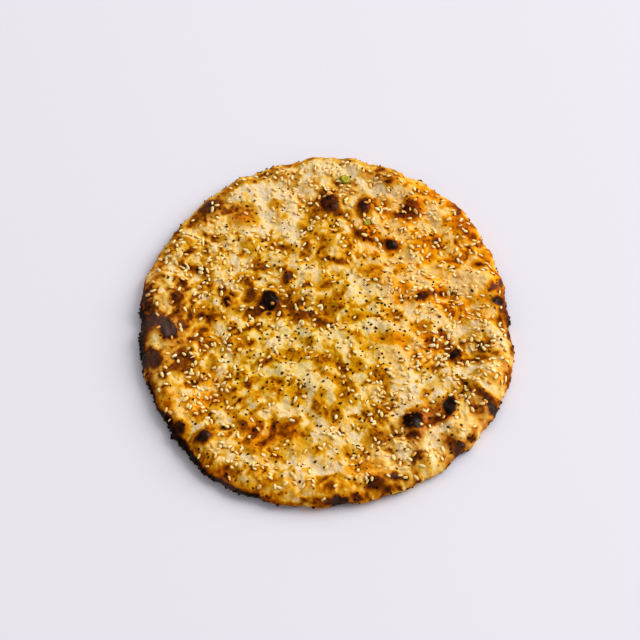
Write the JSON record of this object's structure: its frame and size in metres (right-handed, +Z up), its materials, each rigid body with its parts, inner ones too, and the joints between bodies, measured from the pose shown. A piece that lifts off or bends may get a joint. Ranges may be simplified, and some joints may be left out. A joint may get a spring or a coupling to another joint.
{
  "type": "naan bread",
  "caption": "Round leavened flatbread with a soft rim and charred blisters, its top sown with sesame seeds. Lies flat on its underside.",
  "frame": {"origin": "middle of the base, on the surface the bread rests on", "axes": "+Z up through the bread, +X to the right and -Y towards the reader, who sees the seeded top"},
  "size_m": [0.2022, 0.2218, 0.0131],
  "materials": {
    "baked_crust": "baked dough, satin where buttered, cream to golden brown with charred blisters",
    "sesame_seed": "hulled sesame seed, satin, cream to light gold",
    "black_seed": "small black seed, dull",
    "char_crumb": "charred crumb, dull and rough",
    "green_chilli": "cooked green chilli, satin"
  },
  "bodies": {
    "root": {"naan": "baked_crust"}
  },
  "joints": []
}
